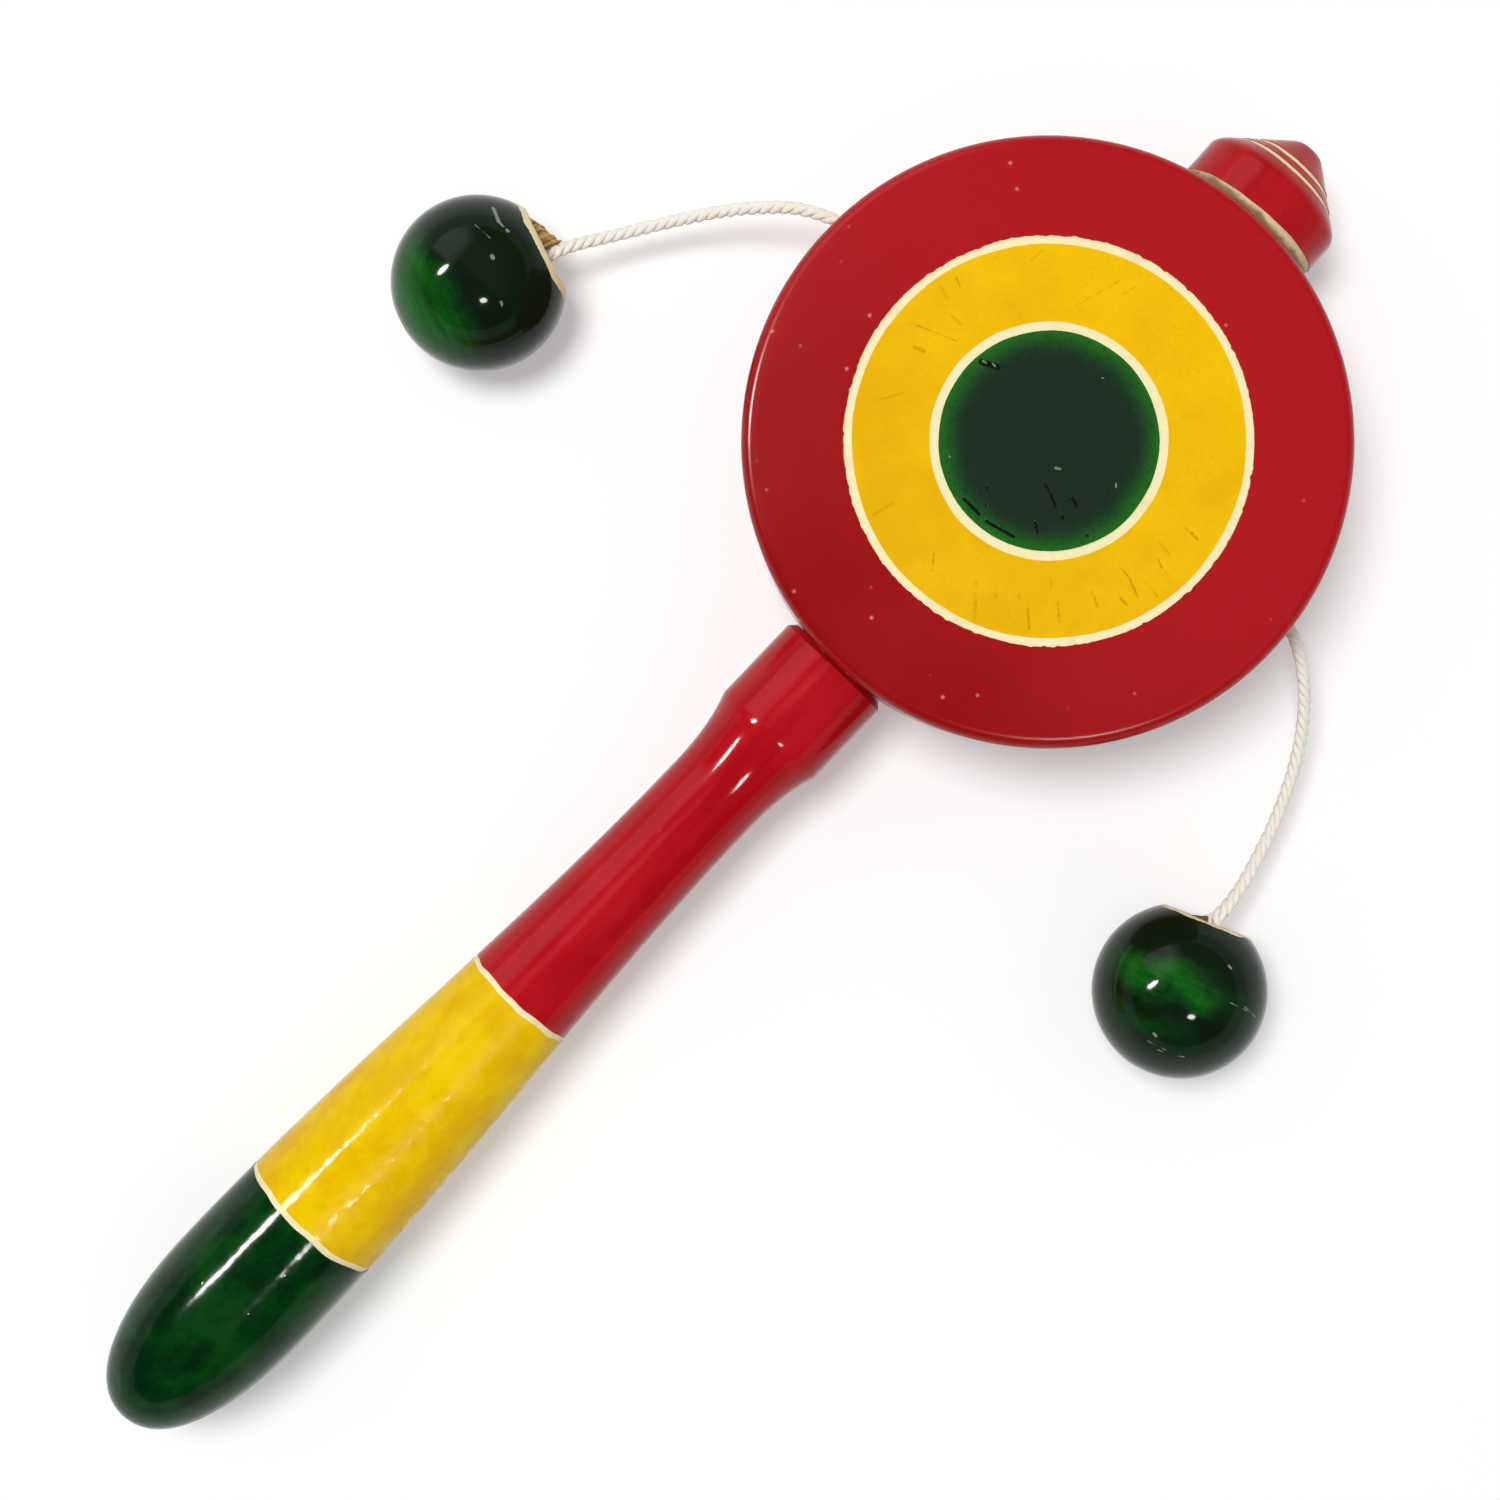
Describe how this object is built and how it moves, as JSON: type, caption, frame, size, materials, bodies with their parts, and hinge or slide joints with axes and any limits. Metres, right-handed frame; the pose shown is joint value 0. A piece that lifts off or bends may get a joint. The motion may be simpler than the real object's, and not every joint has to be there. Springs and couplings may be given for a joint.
{
  "type": "pellet drum rattle",
  "caption": "Turned wooden drum on a handle, with wooden pellets on strings that swing over its edge and strike the faces when the handle is twirled.",
  "frame": {"origin": "centre of the drum's back face, on the surface that the rattle lies on", "axes": "+Z along the drum's axis from the back face to the front face, +Y from the drum's middle towards the finial, the handle along -Y"},
  "size_m": [0.1404, 0.2056, 0.028],
  "materials": {
    "handle_lacquer": "gloss lacquer in red, yellow and green bands",
    "rim_lacquer": "satin red lacquer",
    "face_lacquer": "satin lacquer in red, yellow and green rings",
    "finial_lacquer": "gloss red lacquer over bare wood",
    "pellet_lacquer": "gloss green lacquer",
    "peg_wood": "bare split wood",
    "cotton_string": "twisted cotton twine"
  },
  "bodies": {
    "drum": {"handle": "handle_lacquer", "drum_rim": "rim_lacquer", "front_head": "face_lacquer", "back_head": "face_lacquer", "finial": "finial_lacquer", "left_string_knot": "cotton_string", "right_string_knot": "cotton_string"},
    "left_pellet": {"left_bead": "pellet_lacquer", "left_bead_peg": "peg_wood", "left_string": "cotton_string"},
    "right_pellet": {"right_bead": "pellet_lacquer", "right_bead_peg": "peg_wood", "right_string": "cotton_string"}
  },
  "joints": [
    {"name": "left_pellet_swing", "type": "hinge", "parent": "drum", "child": "left_pellet", "pos_m": [-0.03484, 0.00335, 0.014], "axis": [-0.5538, 0.8327, 0], "range_deg": [-139.2, 148.7], "deforming": ["left_string"]},
    {"name": "right_pellet_swing", "type": "hinge", "parent": "drum", "child": "right_pellet", "pos_m": [0.03462, 0.00517, 0.014], "axis": [-0.3824, -0.924, 0], "range_deg": [-130.5, 141.7], "deforming": ["right_string"]}
  ]
}
